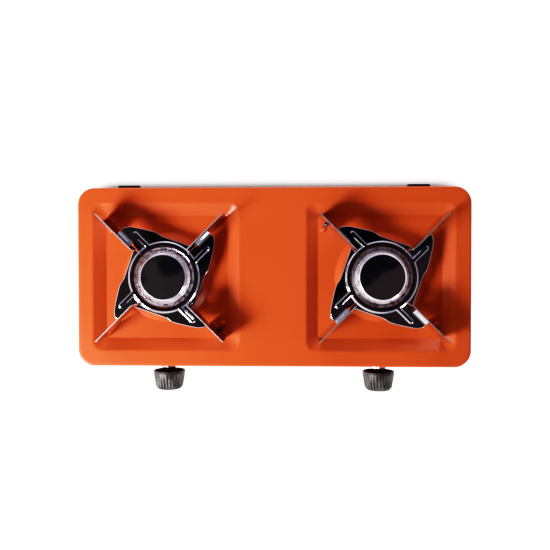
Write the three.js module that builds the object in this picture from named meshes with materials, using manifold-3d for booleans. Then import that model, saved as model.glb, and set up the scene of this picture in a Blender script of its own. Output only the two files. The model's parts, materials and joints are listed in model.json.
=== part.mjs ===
// A two-burner camp stove: a pressed steel top panel with a square well round each burner, a base
// panel on rubber feet, two gas burners fed from a rail, and a lift-off pan support in each well.
// Millimetres, +Z up, knobs at -Y, origin under the middle of the object's box on the floor.
import * as THREE from "three";
import { mergeVertices } from "three/addons/utils/BufferGeometryUtils.js";
import Module from "manifold-3d";

const wasm = await Module();
wasm.setup();

// ---- Driving dimensions ----

const GAP = 0.3; // left between pieces that touch
const SHEET = 1; // thickness of the panels
const BODY = { halfX: 235.5, halfY: 107.5, corner: 20, edge: 3 };
const SKIRT_Z = 10;
const DECK_Z = 58;
const LIP = 12; // width of the flange turned in at the bottom of the skirt
const WELL = { x: 128.4, half: 88.2, corner: 11, floorHalf: 74.2, floorCorner: 4, depth: 9 };
const FLOOR_Z = DECK_Z - WELL.depth;
const BOSS = { foot: 53.7, top: 46, height: 7, hole: 12 };
const BOSS_Z = FLOOR_Z + BOSS.height;
const DOME = { along: 88.5, aside: 7.5, radius: 4, height: 2.5 };
const FOOT = { x: 205, y: 80, radius: 12, height: 11 };
const VENT = { halfLength: 30, radius: 2.5, rows: [-50, -38, -26, 26, 38, 50] };
const KNOB = { rim: 19.4, nose: 14, length: 23.5, clear: 7.3, hollow: 14, hub: 4.9, socket: 17 };
const PAD = { x: 174, halfX: 13.5, halfZ: 6, z: 48, stand: 3.1, plug: 3 };
const AXIS_Z = 37; // height of the jets, valves and knobs
const RAIL = { y: -91, z: 22, radius: 5, half: 145 };
const VALVE = { front: 103.5, rear: 79, nose: 111, bore: 3.3, thread: 6.5, hole: 7 };
const SPINDLE = { radius: 3, flat: 1.8 };
const VENTURI = { outer: 8, inner: 6.8, bend: 10.7, mouth: -64 };
const SUPPLY_RADIUS = 4;
const INLET = { hole: 7, thread: 6.7, bore: 4.5, flats: 16, stand: 1.5, z: 30 };
const HEAD = { cap: 25.6, bevel: 28.6, ports: 31.6, rim: 35.5, top: 75 };
const BOWL = { seat: 65.5, wall: 33, lip: 66.6, skirt: 27.3 };
const BOWL_SCREW_R = 22;
const SUPPORT = { sheet: 1.2, plateZ: 66, emboss: 2, hole: 36.3, top: 95 };
const FIN = { inner: 45, tip: 104, leg: 102.8 }; // the leg is cut back to clear the well's corner
const RING_R = 42; // outside of the raised ring round the burner
const RIB = { along: 48.5, aside: 12.4, halfLength: 12, radius: 2.8 };
const RELIEF = { start: 43, end: 53.5, half: 1.6, radius: 2 }; // slot that frees each fin's bend
const LOBE = 75.5; // reach of the pan support's plate along each fin
const TAB = { start: 88, end: 92.5, length: 3.2 }; // foot tabs, which stop short of the domes
const SCREW = { shank: 1.8, head: 3.6, hole: 2.2, headHeight: 1.9 };
const BODY_Y = (KNOB.clear + KNOB.length - PAD.stand) / 2; // centres the whole box on the origin
const FIN_ANGLES = [135, 45, -45, -135].map(THREE.MathUtils.degToRad); // clockwise from above
const WELL_SIDES = [-1, 1];
const BASE_SCREWS = [-190, 0, 190].flatMap((x) => [-101, 101].map((y) => [x, y]));
const FEET = [-1, 1].flatMap((sy) => [-1, 1].map((sx) => [sx * FOOT.x, sy * FOOT.y]));

// ---- Materials ----

const material = (color, roughness, metalness) =>
  new THREE.MeshStandardMaterial({ color, roughness, metalness });
const ORANGE = material(0xda5024, 0.45, 0.1);
const STEEL = material(0xb8b8bc, 0.12, 1);
const CHROME = material(0xd8d8dc, 0.06, 1);
const PLATED = material(0x9a9a9e, 0.35, 1);
const BRASS = material(0xb58d45, 0.3, 1);
const RUBBER = material(0x18181a, 0.8, 0);
const PLASTIC = material(0x5c5452, 0.5, 0);

// ---- Closed geometry: plain shapes, joins and cuts ----

function solid(geometry) {
  const bare = geometry.clone();
  bare.deleteAttribute("normal");
  bare.deleteAttribute("uv");
  const merged = mergeVertices(bare, 1e-4);
  const corners = [];
  const index = merged.index.array;
  for (let i = 0; i < index.length; i += 3) {
    const [a, b, c] = index.subarray(i, i + 3);
    if (a !== b && b !== c && c !== a) corners.push(a, b, c);
  }
  const build = (triVerts) =>
    new wasm.Manifold(
      new wasm.Mesh({ numProp: 3, vertProperties: merged.attributes.position.array, triVerts }),
    );
  const made = build(new Uint32Array(corners));
  return made.volume() > 0 ? made : build(new Uint32Array(corners.reverse()));
}

function geometryOf(manifold) {
  const mesh = manifold.getMesh();
  return new THREE.BufferGeometry()
    .setAttribute("position", new THREE.BufferAttribute(mesh.vertProperties, 3))
    .setIndex(new THREE.BufferAttribute(mesh.triVerts, 1));
}

const join = (first, ...others) =>
  geometryOf(others.reduce((sum, other) => sum.add(solid(other)), solid(first)));
const cut = (first, ...others) =>
  geometryOf(others.reduce((sum, other) => sum.subtract(solid(other)), solid(first)));

// A rounded rectangle as a ring of points at one height.
function roundedRing(halfX, halfY, radius, z, steps = 3) {
  const ring = [];
  for (let corner = 0; corner < 4; corner++) {
    const sx = corner === 0 || corner === 3 ? 1 : -1;
    const sy = corner < 2 ? 1 : -1;
    for (let i = 0; i <= steps; i++) {
      const angle = ((corner + i / steps) * Math.PI) / 2;
      const x = sx * (halfX - radius) + radius * Math.cos(angle);
      const y = sy * (halfY - radius) + radius * Math.sin(angle);
      ring.push(new THREE.Vector3(x, y, z));
    }
  }
  return ring;
}

// A closed body skinned over rings that hold the same number of points.
function skin(...rings) {
  const count = rings[0].length;
  const points = rings.flat();
  const index = [];
  for (let level = 0; level + 1 < rings.length; level++) {
    for (let i = 0; i < count; i++) {
      const a = level * count + i;
      const b = level * count + ((i + 1) % count);
      index.push(a, b, b + count, a, b + count, a + count);
    }
  }
  const last = (rings.length - 1) * count;
  for (let i = 1; i + 1 < count; i++) {
    index.push(0, i + 1, i, last, last + i, last + i + 1);
  }
  return new THREE.BufferGeometry().setFromPoints(points).setIndex(index);
}

const box = (x0, x1, y0, y1, z0, z1) =>
  new THREE.BoxGeometry(x1 - x0, y1 - y0, z1 - z0).translate(
    (x0 + x1) / 2,
    (y0 + y1) / 2,
    (z0 + z1) / 2,
  );

function rod(radius, z0, z1, x = 0, y = 0, sides = 16) {
  return new THREE.CylinderGeometry(radius, radius, z1 - z0, sides)
    .rotateX(Math.PI / 2)
    .translate(x, y, (z0 + z1) / 2);
}

// A profile of [radius, height] points turned round the Z axis.
function turned(profile, sides = 32) {
  const points = profile.map(([radius, height]) => new THREE.Vector2(radius, height));
  return new THREE.LatheGeometry(points, sides).rotateX(Math.PI / 2);
}

// Turns a piece modelled along +Z to lie along -Y, towards the front.
const forward = (geometry, z = AXIS_Z) => geometry.rotateX(Math.PI / 2).translate(0, 0, z);

function extruded(shape, z0, z1, curveSegments = 8) {
  const settings = { depth: z1 - z0, bevelEnabled: false, curveSegments };
  return new THREE.ExtrudeGeometry(shape, settings).translate(0, 0, z0);
}

// A pipe along a curve, open at both ends, with a wall between the two radii.
function pipe(curve, outer, inner, steps) {
  const section = new THREE.Shape().absarc(0, 0, outer, 0, 2 * Math.PI);
  section.holes.push(new THREE.Path().absarc(0, 0, inner, 0, 2 * Math.PI, true));
  const settings = { steps, bevelEnabled: false, curveSegments: 5, extrudePath: curve };
  return new THREE.ExtrudeGeometry(section, settings);
}

function slotShape(halfLength, radius) {
  const shape = new THREE.Shape();
  shape.absarc(halfLength, 0, radius, -Math.PI / 2, Math.PI / 2);
  shape.absarc(-halfLength, 0, radius, Math.PI / 2, (3 * Math.PI) / 2);
  return shape;
}

function piece(group, name, geometry, surface, x = 0, y = 0, z = 0) {
  const mesh = new THREE.Mesh(geometryOf(solid(geometry)), surface);
  mesh.name = name;
  mesh.position.set(x, y, z);
  group.add(mesh);
}

// ---- Screws and nuts ----

// A pan-head screw pointing up, with the underside of its head at z.
function screwUp(z, length) {
  const { shank, head, headHeight } = SCREW;
  return turned(
    [
      [0, z + length],
      [shank, z + length],
      [shank, z],
      [head, z],
      [head * 0.8, z - headHeight],
      [0, z - headHeight],
    ],
    8,
  );
}

function hexNut(acrossFlats, hole, z0, z1) {
  return cut(
    rod(acrossFlats / Math.sqrt(3), z0, z1, 0, 0, 6),
    rod(hole, z0 - 1, z1 + 1, 0, 0, 16),
  );
}

// ---- Casing ----

// The outside of the body, drawn in by inset all round, between two heights.
function bodyBlock(inset, z0, top) {
  const { halfX, halfY, corner, edge } = BODY;
  const level = (more, z) =>
    roundedRing(halfX - inset - more, halfY - inset - more, corner - inset - more, z);
  return skin(
    level(0, z0),
    level(0, top - edge),
    level(edge * 0.3, top - edge * 0.3),
    level(edge, top),
  );
}

function wellBlock(grow, z0, z1) {
  const slope = (WELL.half - WELL.floorHalf) / WELL.depth;
  const low = WELL.floorHalf + grow + (z0 + grow - FLOOR_Z) * slope;
  const high = WELL.floorHalf + grow + (z1 + grow - FLOOR_Z) * slope;
  return skin(
    roundedRing(low, low, WELL.floorCorner + grow, z0),
    roundedRing(high, high, WELL.corner + grow, z1),
  );
}

function bossBlock(shrink, z0, z1) {
  return turned([
    [0, z0],
    [BOSS.foot - shrink, z0],
    [BOSS.top - shrink, z1],
    [0, z1],
  ], 28);
}

function domes() {
  const profile = [
    [0, FLOOR_Z - SHEET / 2],
    [DOME.radius, FLOOR_Z - SHEET / 2],
    [DOME.radius, FLOOR_Z],
    [DOME.radius * 0.7, FLOOR_Z + DOME.height * 0.8],
    [0, FLOOR_Z + DOME.height],
  ];
  return [FIN_ANGLES[0], FIN_ANGLES[2]].map((angle) => {
    const [x, y] = fromArm(angle, DOME.along, -DOME.aside);
    return turned(profile, 10).translate(x, y, 0);
  });
}

function topPanel() {
  const under = SKIRT_Z + SHEET;
  let shell = cut(
    bodyBlock(0, SKIRT_Z, DECK_Z),
    bodyBlock(SHEET, under, DECK_Z - SHEET),
    skin(
      roundedRing(BODY.halfX - LIP, BODY.halfY - LIP, BODY.corner - LIP / 2, SKIRT_Z - 1),
      roundedRing(BODY.halfX - LIP, BODY.halfY - LIP, BODY.corner - LIP / 2, under + 1),
    ),
  );
  for (const side of WELL_SIDES) {
    const at = (geometry) => geometry.translate(side * WELL.x, 0, 0);
    shell = join(shell, at(wellBlock(SHEET * 0.6, FLOOR_Z - SHEET, DECK_Z - SHEET / 2)));
    shell = cut(shell, at(wellBlock(0, FLOOR_Z, DECK_Z + 1)));
    shell = join(shell, at(bossBlock(0, FLOOR_Z - SHEET / 2, BOSS_Z)), ...domes().map(at));
    shell = cut(
      shell,
      at(bossBlock(SHEET, FLOOR_Z - SHEET - 1, BOSS_Z - SHEET)),
      at(rod(BOSS.hole, FLOOR_Z, BOSS_Z + 1, 0, 0, 14)),
      at(rod(SCREW.hole, FLOOR_Z, BOSS_Z + 1, BOWL_SCREW_R, 0, 8)),
      at(rod(SCREW.hole, FLOOR_Z, BOSS_Z + 1, -BOWL_SCREW_R, 0, 8)),
      at(forward(rod(VALVE.hole, BODY.halfY - 3, BODY.halfY + 3, 0, 0, 14))),
    );
  }
  const padHoles = [-PAD.x, PAD.x].map((x) =>
    forward(rod(PAD.plug + GAP, -BODY.halfY - 3, 3 - BODY.halfY, x, 0, 12), PAD.z),
  );
  const inletHole = forward(
    rod(INLET.hole, -BODY.halfY - 3, 3 - BODY.halfY, 0, 0, 14),
    INLET.z,
  );
  const screwHoles = BASE_SCREWS.map(([x, y]) =>
    rod(SCREW.hole, SKIRT_Z - 1, under + 1, x, y, 8),
  );
  return cut(shell, ...padHoles, inletHole, ...screwHoles);
}

function basePanel() {
  const inset = SHEET + 0.5;
  const [z0, z1] = [SKIRT_Z + SHEET + GAP, SKIRT_Z + 2 * SHEET + GAP];
  const level = (z) =>
    roundedRing(BODY.halfX - inset, BODY.halfY - inset, BODY.corner - inset, z);
  const holes = [...BASE_SCREWS, ...FEET].map(([x, y]) =>
    rod(SCREW.hole, z0 - 1, z1 + 1, x, y, 8),
  );
  const vents = WELL_SIDES.flatMap((side) =>
    VENT.rows.map((y) =>
      extruded(slotShape(VENT.halfLength, VENT.radius), z0 - 1, z1 + 1, 2)
        .translate(side * WELL.x, y, 0),
    ),
  );
  return cut(skin(level(z0), level(z1)), ...holes, ...vents);
}

function foot() {
  const seat = 4;
  return turned(
    [
      [SCREW.hole, FOOT.height],
      [SCREW.hole, seat],
      [5, seat],
      [5, 0],
      [FOOT.radius - 2, 0],
      [FOOT.radius - 0.5, 1.5],
      [FOOT.radius, FOOT.height],
      [SCREW.hole, FOOT.height],
    ],
    12,
  );
}

function rearPad() {
  const outline = roundedRing(PAD.halfX, PAD.halfZ, 2.5, 0, 3);
  const face = (z) => outline.map((p) => p.clone().setZ(z));
  const back = BODY.halfY + GAP;
  return join(
    skin(face(back), face(BODY.halfY + PAD.stand)).rotateX(-Math.PI / 2),
    rod(PAD.plug, BODY.halfY - 5, back + 0.5, 0, 0, 12).rotateX(-Math.PI / 2),
  );
}

// ---- Burners ----

function burnerBowl() {
  const { ports, rim } = HEAD;
  const { seat, wall, lip } = BOWL;
  const bowl = turned(
    [
      [8, 48.3],
      [9.5, 48.3],
      [9.5, BOSS_Z + GAP],
      [wall, BOSS_Z + GAP],
      [wall, lip - 4.6],
      [rim, lip - 2.1],
      [rim, lip - 0.6],
      [rim - 0.8, lip],
      [ports + 0.9, lip],
      [ports + 0.4, seat],
      [30.5, seat],
      [30.5, 58],
      [8, 58],
      [8, 48.3],
    ],
    24,
  );
  const lugs = [-1, 1].map((side) => rod(4, 57, 63, side * BOWL_SCREW_R, 0, 12));
  const holes = [-1, 1].map((side) =>
    rod(SCREW.hole, BOSS_Z - 1, 61, side * BOWL_SCREW_R, 0, 8),
  );
  return cut(join(bowl, ...lugs), ...holes);
}

function portRing() {
  const { ports, bevel } = HEAD;
  const bottom = BOWL.seat + GAP;
  return turned(
    [
      [BOWL.skirt, bottom],
      [ports, bottom],
      [ports, bottom + 1.2],
      [bevel + 0.2, 71.5],
      [BOWL.skirt, 71.5],
      [BOWL.skirt, bottom],
    ],
    24,
  );
}

function burnerCap() {
  const { cap, bevel, top } = HEAD;
  return turned(
    [
      [0, 69.5],
      [BOWL.skirt - 0.4, 69.5],
      [BOWL.skirt - 0.4, 71.8],
      [bevel, 71.8],
      [bevel, 72.8],
      [cap, top],
      [0, top],
    ],
    24,
  );
}

function venturi() {
  const { outer, inner, bend, mouth } = VENTURI;
  const path = new THREE.CurvePath();
  const top = AXIS_Z + bend;
  path.add(
    new THREE.CubicBezierCurve3(
      new THREE.Vector3(0, 0, top),
      new THREE.Vector3(0, 0, top - bend * 0.55),
      new THREE.Vector3(0, -bend * 0.45, AXIS_Z),
      new THREE.Vector3(0, -bend, AXIS_Z),
    ),
  );
  path.add(
    new THREE.LineCurve3(
      new THREE.Vector3(0, -bend, AXIS_Z),
      new THREE.Vector3(0, mouth + 6, AXIS_Z),
    ),
  );
  const bell = forward(
    turned(
      [
        [inner, -mouth - 7],
        [outer, -mouth - 7],
        [10, -mouth],
        [8.8, -mouth],
        [inner, -mouth - 7],
      ],
      14,
    ),
  );
  return join(pipe(path, outer, inner, 9), bell);
}

function gasJet() {
  return forward(
    turned(
      [
        [0.8, 68],
        [1.8, 68],
        [3.8, 71],
        [4.5, 71.5],
        [4.5, VALVE.rear - GAP],
        [2.6, VALVE.rear - GAP],
        [2.6, VALVE.rear + 4],
        [0.8, VALVE.rear + 4],
        [0.8, 68],
      ],
      12,
    ),
  );
}

function valveBody() {
  const { front, rear, nose, bore, thread } = VALVE;
  const barrel = forward(
    turned(
      [
        [3, rear],
        [7, rear],
        [8, rear + 1],
        [8, front],
        [thread, front],
        [thread, nose],
        [bore, nose],
        [bore, rear + 6],
        [3, rear + 5],
        [3, rear],
      ],
      16,
    ),
  );
  const port = rod(5, RAIL.z + RAIL.radius + GAP, AXIS_Z - 6, 0, RAIL.y, 16);
  return join(barrel, port);
}

function spindle() {
  const { rear } = VALVE;
  const { radius, flat } = SPINDLE;
  const end = BODY.halfY + KNOB.clear + KNOB.socket - GAP;
  return cut(
    forward(
      turned(
        [
          [0, rear + 7.5],
          [1, rear + 7.5],
          [radius, rear + 9.5],
          [radius, end],
          [0, end],
        ],
        16,
      ),
    ),
    box(-4, 4, -end - 1, -end + 13, AXIS_Z + flat, AXIS_Z + 4),
  );
}

function knob() {
  const { rim, nose, length, clear, hollow, hub, socket } = KNOB;
  const start = BODY.halfY + clear;
  const bore = SPINDLE.radius + GAP;
  const hubEnd = VALVE.nose + 0.5 - start + GAP; // the hub reaches back past the rim
  const profile = [
    [0, length],
    [nose, length],
    [nose + 1.9, length - 1.6],
    [nose + 3.4, length - 7],
    [rim - 0.4, length - 14],
    [rim, 3],
    [rim - 0.4, 0],
    [rim - 2.3, 0],
    [rim - 3.8, hollow],
    [hub, hollow],
    [hub, hubEnd],
    [bore, hubEnd],
    [bore, socket],
    [0, socket],
  ];
  return forward(turned(profile.map(([r, t]) => [r, start + t]), 24));
}

function saddleClamp() {
  const { y, z, radius } = RAIL;
  return cut(
    box(-9, 9, y - 8, y + 8, z - 8, z + 6.5),
    rod(radius + GAP, -12, 12, 0, 0, 20).rotateY(Math.PI / 2).translate(0, y, z),
    rod(5 + GAP, z, z + 12, 0, y, 16),
  );
}

function addBurner(group, side) {
  const front = BODY.halfY;
  piece(group, `${side}_burner_bowl`, burnerBowl(), PLATED);
  piece(group, `${side}_port_ring`, portRing(), STEEL);
  piece(group, `${side}_burner_cap`, burnerCap(), CHROME);
  piece(group, `${side}_venturi_tube`, venturi(), PLATED);
  piece(group, `${side}_gas_jet`, gasJet(), BRASS);
  piece(group, `${side}_valve_body`, valveBody(), BRASS);
  piece(group, `${side}_valve_spindle`, spindle(), BRASS);
  const nut = forward(hexNut(17, VALVE.thread + GAP, front + GAP, front + 3.8));
  piece(group, `${side}_panel_nut`, nut, PLATED);
  piece(group, `${side}_knob`, knob(), PLASTIC);
  piece(group, `${side}_saddle_clamp`, saddleClamp(), PLATED);
  for (const [end, x] of [["outer", -BOWL_SCREW_R], ["inner", BOWL_SCREW_R]]) {
    const screw = screwUp(BOSS_Z - SHEET - GAP, 6);
    piece(group, `${side}_bowl_screw_${end}`, screw, PLATED, x);
  }
  piece(group, `${side}_pan_support`, panSupport(), STEEL);
}

// ---- Pan support: one pressed plate with four upright fins and two foot tabs ----

// A point given along a fin from the burner's axis, and to the fin's clockwise side.
function fromArm(angle, along, aside) {
  const [c, s] = [Math.cos(angle), Math.sin(angle)];
  return [c * along + s * aside, s * along - c * aside];
}

function plateOutline() {
  const shape = new THREE.Shape();
  FIN_ANGLES.forEach((angle, arm) => {
    const at = (along, aside) => fromArm(angle, along, aside);
    if (arm === 0) shape.moveTo(...at(50, 0));
    else shape.lineTo(...at(50, 0));
    shape.lineTo(...at(LOBE, 0));
    shape.quadraticCurveTo(...at(LOBE + 0.5, 11), ...at(68.5, 15.5));
    shape.lineTo(...at(46, 30));
    shape.quadraticCurveTo(...at(41, 31), ...at(36, 32));
    shape.lineTo(...at(23.6, 38.2));
    shape.lineTo(...at(1.6, 49));
  });
  return shape;
}

// The raised zone round the burner with its four ribs, drawn in by inset all round.
function embossBlock(inset, z0, z1) {
  const ribs = FIN_ANGLES.map((angle) => {
    const rib = extruded(slotShape(RIB.halfLength, RIB.radius - inset), z0, z1, 3);
    return rib.rotateZ(angle).translate(...fromArm(angle, RIB.along, RIB.aside), 0);
  });
  return join(rod(RING_R - inset, z0, z1, 0, 0, 28), ...ribs);
}

function panSupport() {
  const { sheet, plateZ, emboss, hole, top } = SUPPORT;
  const { inner, tip, leg } = FIN;
  const plateTop = plateZ + sheet;
  const raised = plateTop + emboss;
  const through = [plateZ - 1, raised + 1];
  const reliefs = FIN_ANGLES.map((angle) =>
    join(
      box(RELIEF.start, RELIEF.end - 0.5, -RELIEF.half, RELIEF.half, ...through),
      rod(RELIEF.radius, ...through, RELIEF.end, 0, 10),
    ).rotateZ(angle),
  );
  const plate = cut(
    join(extruded(plateOutline(), plateZ, plateTop, 3), embossBlock(0, plateZ, raised)),
    embossBlock(sheet, plateZ - 1, raised - sheet),
    rod(hole, ...through, 0, 0, 28),
    ...reliefs,
  );
  const half = sheet / 2;
  const foot = FLOOR_Z + GAP;
  const fins = FIN_ANGLES.map((angle) =>
    join(
      box(inner, tip, -half, half, plateZ + 1.5, top),
      box(RELIEF.end + 1, tip, -half, half, plateZ, plateZ + 2),
      box(LOBE + 1, leg, -half, half, foot, plateZ + 2),
    ).rotateZ(angle),
  );
  const tabs = [FIN_ANGLES[0], FIN_ANGLES[2]].map((angle) =>
    box(TAB.start, TAB.end, 0, TAB.length, foot, foot + sheet).rotateZ(angle),
  );
  return join(plate, ...fins, ...tabs);
}

// ---- Gas supply ----

function gasRail() {
  const ends = [-RAIL.half, RAIL.half].map((x) => new THREE.Vector3(x, RAIL.y, RAIL.z));
  return pipe(new THREE.LineCurve3(...ends), RAIL.radius, RAIL.radius - 1, 1);
}

function railPlug(side) {
  const profile = [
    [0, -6],
    [RAIL.radius - 1 - GAP, -6],
    [RAIL.radius - 1 - GAP, GAP],
    [RAIL.radius, GAP],
    [RAIL.radius, 4],
    [0, 4],
  ];
  return turned(profile, 16)
    .rotateY((side * Math.PI) / 2)
    .translate(side * RAIL.half, RAIL.y, RAIL.z);
}

function supplyTee() {
  const { y, z, radius } = RAIL;
  return cut(
    box(-9, 9, y - 7, y + 11, z - 9, z + 9),
    rod(radius + GAP, -12, 12, 0, 0, 20).rotateY(Math.PI / 2).translate(0, y, z),
    forward(rod(SUPPLY_RADIUS + GAP, -y - 12, -y, 0, 0, 16), z),
  );
}

function supplyPipe() {
  const path = new THREE.CurvePath();
  const at = (y, z) => new THREE.Vector3(0, y, z);
  const [start, end] = [RAIL.y + RAIL.radius + 1, 99.5];
  path.add(new THREE.LineCurve3(at(start, RAIL.z), at(40, RAIL.z)));
  path.add(
    new THREE.CubicBezierCurve3(
      at(40, RAIL.z), at(60, RAIL.z), at(62, INLET.z), at(82, INLET.z),
    ),
  );
  path.add(new THREE.LineCurve3(at(82, INLET.z), at(end, INLET.z)));
  return pipe(path, SUPPLY_RADIUS, SUPPLY_RADIUS - 1, 12);
}

function inletFitting() {
  const { thread, bore, flats, stand, z } = INLET;
  const back = BODY.halfY + stand;
  const body = turned(
    [
      [3, 93],
      [thread, 93],
      [thread, back - 1],
      [bore, back - 1],
      [bore, 101],
      [3, 101],
      [3, 93],
    ],
    16,
  );
  const socket = rod(SUPPLY_RADIUS + GAP, 92, 99.8, 0, 0, 20);
  const hex = hexNut(flats, bore, BODY.halfY + GAP, back);
  return cut(join(body, hex), socket).rotateX(-Math.PI / 2).translate(0, 0, z);
}

// ---- Assembly ----

function assemble() {
  const stove = new THREE.Group();
  const body = new THREE.Group();
  body.position.y = BODY_Y;
  stove.add(body);
  piece(body, "top_panel", topPanel(), ORANGE);
  piece(body, "base_panel", basePanel(), PLATED);
  FEET.forEach(([x, y]) => {
    const place = `${y < 0 ? "front" : "rear"}_${x < 0 ? "left" : "right"}`;
    piece(body, `${place}_foot`, foot(), RUBBER, x, y);
    piece(body, `${place}_foot_screw`, screwUp(4 - GAP, 13), PLATED, x, y);
  });
  BASE_SCREWS.forEach(([x, y], i) => {
    piece(body, `base_screw_${i + 1}`, screwUp(SKIRT_Z - GAP, 7), PLATED, x, y);
  });
  piece(body, "left_rear_pad", rearPad(), RUBBER, -PAD.x, 0, PAD.z);
  piece(body, "right_rear_pad", rearPad(), RUBBER, PAD.x, 0, PAD.z);
  piece(body, "gas_rail", gasRail(), PLATED);
  piece(body, "left_rail_plug", railPlug(-1), BRASS);
  piece(body, "right_rail_plug", railPlug(1), BRASS);
  piece(body, "supply_tee", supplyTee(), BRASS);
  piece(body, "supply_pipe", supplyPipe(), PLATED);
  piece(body, "inlet_fitting", inletFitting(), BRASS);
  const inletNut = hexNut(19, INLET.hole, BODY.halfY - SHEET - GAP - 4, BODY.halfY - SHEET - GAP)
    .rotateX(-Math.PI / 2)
    .translate(0, 0, INLET.z);
  piece(body, "inlet_nut", inletNut, PLATED);
  for (const side of ["left", "right"]) {
    const burner = new THREE.Group();
    burner.position.x = side === "left" ? -WELL.x : WELL.x;
    body.add(burner);
    addBurner(burner, side);
  }
  return stove;
}

export default assemble();
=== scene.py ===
import json
import math

import bmesh
import bpy
import numpy as np
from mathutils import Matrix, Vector
from mathutils.geometry import tessellate_polygon


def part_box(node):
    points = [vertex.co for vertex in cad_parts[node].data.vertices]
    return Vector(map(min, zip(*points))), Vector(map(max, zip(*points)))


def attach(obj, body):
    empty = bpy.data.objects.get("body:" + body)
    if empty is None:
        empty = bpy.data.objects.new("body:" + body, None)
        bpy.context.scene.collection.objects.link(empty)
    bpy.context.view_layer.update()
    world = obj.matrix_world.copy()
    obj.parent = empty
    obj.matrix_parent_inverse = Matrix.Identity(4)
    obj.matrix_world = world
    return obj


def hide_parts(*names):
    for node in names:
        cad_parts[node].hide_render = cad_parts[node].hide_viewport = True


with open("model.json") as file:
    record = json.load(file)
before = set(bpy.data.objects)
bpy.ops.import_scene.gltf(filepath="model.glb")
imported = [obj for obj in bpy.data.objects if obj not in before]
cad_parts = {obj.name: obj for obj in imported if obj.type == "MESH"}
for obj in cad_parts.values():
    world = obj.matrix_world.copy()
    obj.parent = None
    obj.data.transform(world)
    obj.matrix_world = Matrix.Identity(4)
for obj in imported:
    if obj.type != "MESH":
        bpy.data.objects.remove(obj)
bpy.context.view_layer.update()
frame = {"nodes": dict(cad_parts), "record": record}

MM = 0.001
TAU = 2 * math.pi
SIDES = ("left", "right")

# ---- Places and sizes taken from the frame, in millimetres ----


def mm_box(node):
    low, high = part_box(node)
    return np.array(low) / MM, np.array(high) / MM


PANEL_LOW, PANEL_HIGH = mm_box("top_panel")
HALF_X = (PANEL_HIGH[0] - PANEL_LOW[0]) / 2
HALF_Y = (PANEL_HIGH[1] - PANEL_LOW[1]) / 2
BODY_Y = (PANEL_HIGH[1] + PANEL_LOW[1]) / 2
SKIRT_Z, DECK_Z = PANEL_LOW[2], PANEL_HIGH[2]
WELL_DEPTH = 9
BOSS_HEIGHT = 7
FLOOR_Z = DECK_Z - WELL_DEPTH
BOSS_Z = FLOOR_Z + BOSS_HEIGHT
AXIS_Z = sum(corner[2] for corner in mm_box("left_knob")) / 2
CENTRE = {}
for side in SIDES:
    low, high = mm_box(f"{side}_burner_cap")
    CENTRE[side] = Vector(((low[0] + high[0]) / 2, BODY_Y, 0))
CAP_TOP = mm_box("left_burner_cap")[1][2]
SUPPORT_LOW, SUPPORT_HIGH = mm_box("left_pan_support")
FIN_ANGLES = [math.radians(a) for a in (135, 45, -45, -135)]
TAB_ANGLES = (FIN_ANGLES[0], FIN_ANGLES[2])  # the two fins that stand on a foot tab

# ---- Mesh helpers: everything is built in millimetres and scaled once ----

MERGE = 0.01  # points closer than this become one


def make_object(name, points, faces, at=(0, 0, 0), sharp=35):
    """A mesh object from points in millimetres, shaded smooth except across sharp edges."""
    mesh = bpy.data.meshes.new(name)
    places = (np.asarray(points, float) + np.asarray(at, float)) * MM
    mesh.from_pydata(places.tolist(), [], [tuple(map(int, f)) for f in faces])
    tidy = bmesh.new()
    tidy.from_mesh(mesh)
    bmesh.ops.remove_doubles(tidy, verts=tidy.verts, dist=MERGE * MM)
    bmesh.ops.dissolve_degenerate(tidy, edges=tidy.edges, dist=MERGE / 5 * MM)
    bmesh.ops.recalc_face_normals(tidy, faces=tidy.faces)
    tidy.to_mesh(mesh)
    tidy.free()
    obj = bpy.data.objects.new(name, mesh)
    bpy.context.scene.collection.objects.link(obj)
    shade(obj, sharp)
    return obj


def shade(obj, sharp):
    """Smooth shading, except across edges sharper than this many degrees."""
    mesh = obj.data
    mesh.polygons.foreach_set("use_smooth", [True] * len(mesh.polygons))
    mesh.set_sharp_from_angle(angle=math.radians(sharp))


def apply_modifiers(obj, sharp):
    bpy.context.view_layer.update()
    graph = bpy.context.evaluated_depsgraph_get()
    made = bpy.data.meshes.new_from_object(obj.evaluated_get(graph))
    obj.modifiers.clear()
    obj.data = made
    shade(obj, sharp)


def thicken(obj, thickness, offset, sharp, edge=0.0, rim=0):
    """Gives a pressed sheet its thickness, and rounds its cut edges if edge isn't 0.

    offset says which side the thickness is added to, and rim is the cut edges' material."""
    solid = obj.modifiers.new("sheet", "SOLIDIFY")
    solid.thickness = thickness * MM
    solid.offset = offset
    solid.use_even_offset = True
    solid.material_offset_rim = rim
    if edge:
        bevel = obj.modifiers.new("edge", "BEVEL")
        bevel.width = edge * MM
        bevel.segments = 2
        bevel.limit_method = "ANGLE"
        bevel.angle_limit = math.radians(55)
        bevel.use_clamp_overlap = True
    apply_modifiers(obj, sharp)


def skin(rings, closed=True):
    """Faces between rings of equal length."""
    count = len(rings[0])
    wide = count if closed else count - 1
    faces = []
    for level in range(len(rings) - 1):
        low = level * count
        for i in range(wide):
            j = (i + 1) % count
            faces.append((low + i, low + j, low + count + j, low + count + i))
    return faces


def rounded_ring(half_x, half_y, radius, z, steps=14):
    """A rounded rectangle's points at one height, anticlockwise from above."""
    ring = []
    for corner in range(4):
        sx = 1 if corner in (0, 3) else -1
        sy = 1 if corner < 2 else -1
        for i in range(steps + 1):
            angle = (corner + i / steps) * math.pi / 2
            x = sx * (half_x - radius) + radius * math.cos(angle)
            y = sy * (half_y - radius) + radius * math.sin(angle)
            ring.append((x, y, z))
    return np.array(ring)


def circle_ring(radius, z, count):
    angles = np.arange(count) * TAU / count
    return np.stack([radius * np.cos(angles), radius * np.sin(angles), np.full(count, z)], 1)


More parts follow.
